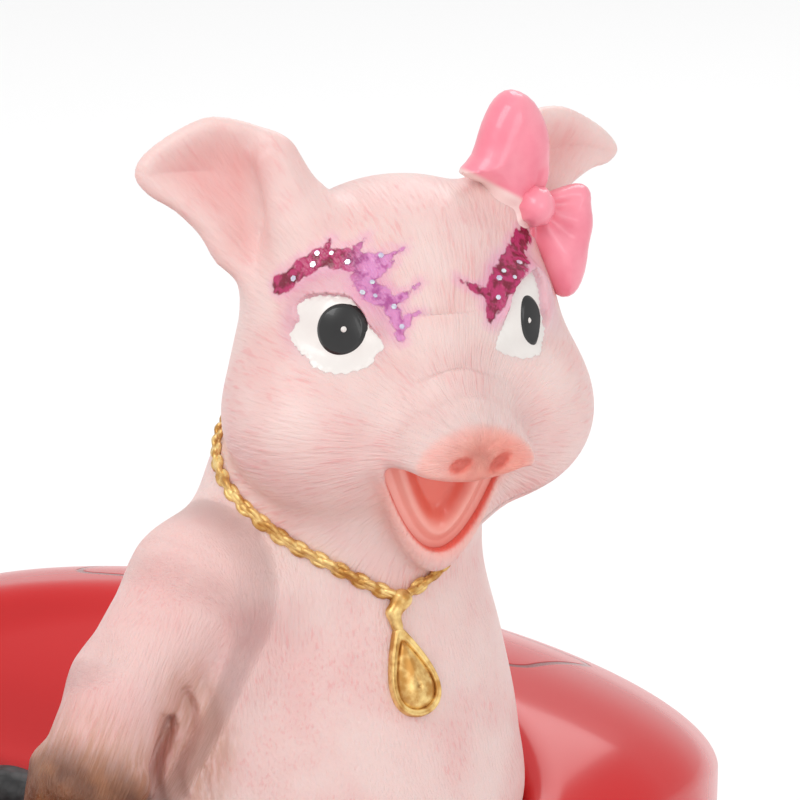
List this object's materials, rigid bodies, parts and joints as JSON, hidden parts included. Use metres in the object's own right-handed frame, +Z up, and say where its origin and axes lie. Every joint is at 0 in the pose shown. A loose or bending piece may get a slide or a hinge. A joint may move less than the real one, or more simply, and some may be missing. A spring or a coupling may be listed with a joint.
{
  "type": "pig figurine",
  "caption": "Painted resin pig with a hair bow, necklace and pendant, sitting in an open red car that is its base.",
  "frame": {"origin": "on the ground under the middle of the car", "axes": "+Z up, the car's nose towards -Y and its left side, where the pig sits, towards +X"},
  "size_m": [0.099, 0.186, 0.1067],
  "materials": {
    "pig_skin": "hand-painted resin, satin",
    "eye_white": "painted, gloss",
    "eye_black": "painted, gloss",
    "mouth_coral": "painted, satin",
    "bow_pink": "painted, gloss",
    "gold_paint": "gold paint with a dark wash",
    "car_red": "painted, high gloss",
    "seat_black": "painted, grained",
    "trim_black": "painted, satin",
    "trim_silver": "silver paint",
    "clear_pane": "clear sheet",
    "lamp_clear": "pale gloss paint",
    "lamp_red": "deep red gloss paint",
    "tyre_black": "painted, matt",
    "axle_steel": "plain rod"
  },
  "bodies": {
    "root": {"pig_head": "pig_skin", "pig_torso": "pig_skin", "pig_ear_right": "pig_skin", "pig_ear_left": "pig_skin", "pig_arm_right": "pig_skin", "pig_arm_left": "pig_skin", "pig_leg_right": "pig_skin", "pig_leg_left": "pig_skin", "eye_right": "eye_white", "eye_left": "eye_white", "iris_right": "eye_black", "iris_left": "eye_black", "tongue": "mouth_coral", "bow_knot": "bow_pink", "bow_loop_upper": "bow_pink", "bow_loop_lower": "bow_pink", "necklace_chain": "gold_paint", "pendant_bail": "gold_paint", "pendant_frame": "gold_paint", "pendant_drop": "gold_paint", "car_body": "car_red", "driver_seat": "seat_black", "passenger_seat": "seat_black", "dashboard": "seat_black", "underpan": "trim_black", "steering_column": "trim_black", "steering_wheel": "trim_black", "windscreen_frame": "trim_silver", "front_bumper": "trim_silver", "rear_bumper": "trim_silver", "grille": "trim_silver", "headlamp_rims": "trim_silver", "door_handles": "trim_silver", "wheel_disc_front_left": "trim_silver", "wheel_disc_front_right": "trim_silver", "wheel_disc_rear_left": "trim_silver", "wheel_disc_rear_right": "trim_silver", "windscreen_pane": "clear_pane", "headlamp_lenses": "lamp_clear", "tail_lamps": "lamp_red", "tyre_front_left": "tyre_black", "tyre_front_right": "tyre_black", "tyre_rear_left": "tyre_black", "tyre_rear_right": "tyre_black", "front_axle": "axle_steel", "rear_axle": "axle_steel"}
  },
  "joints": []
}
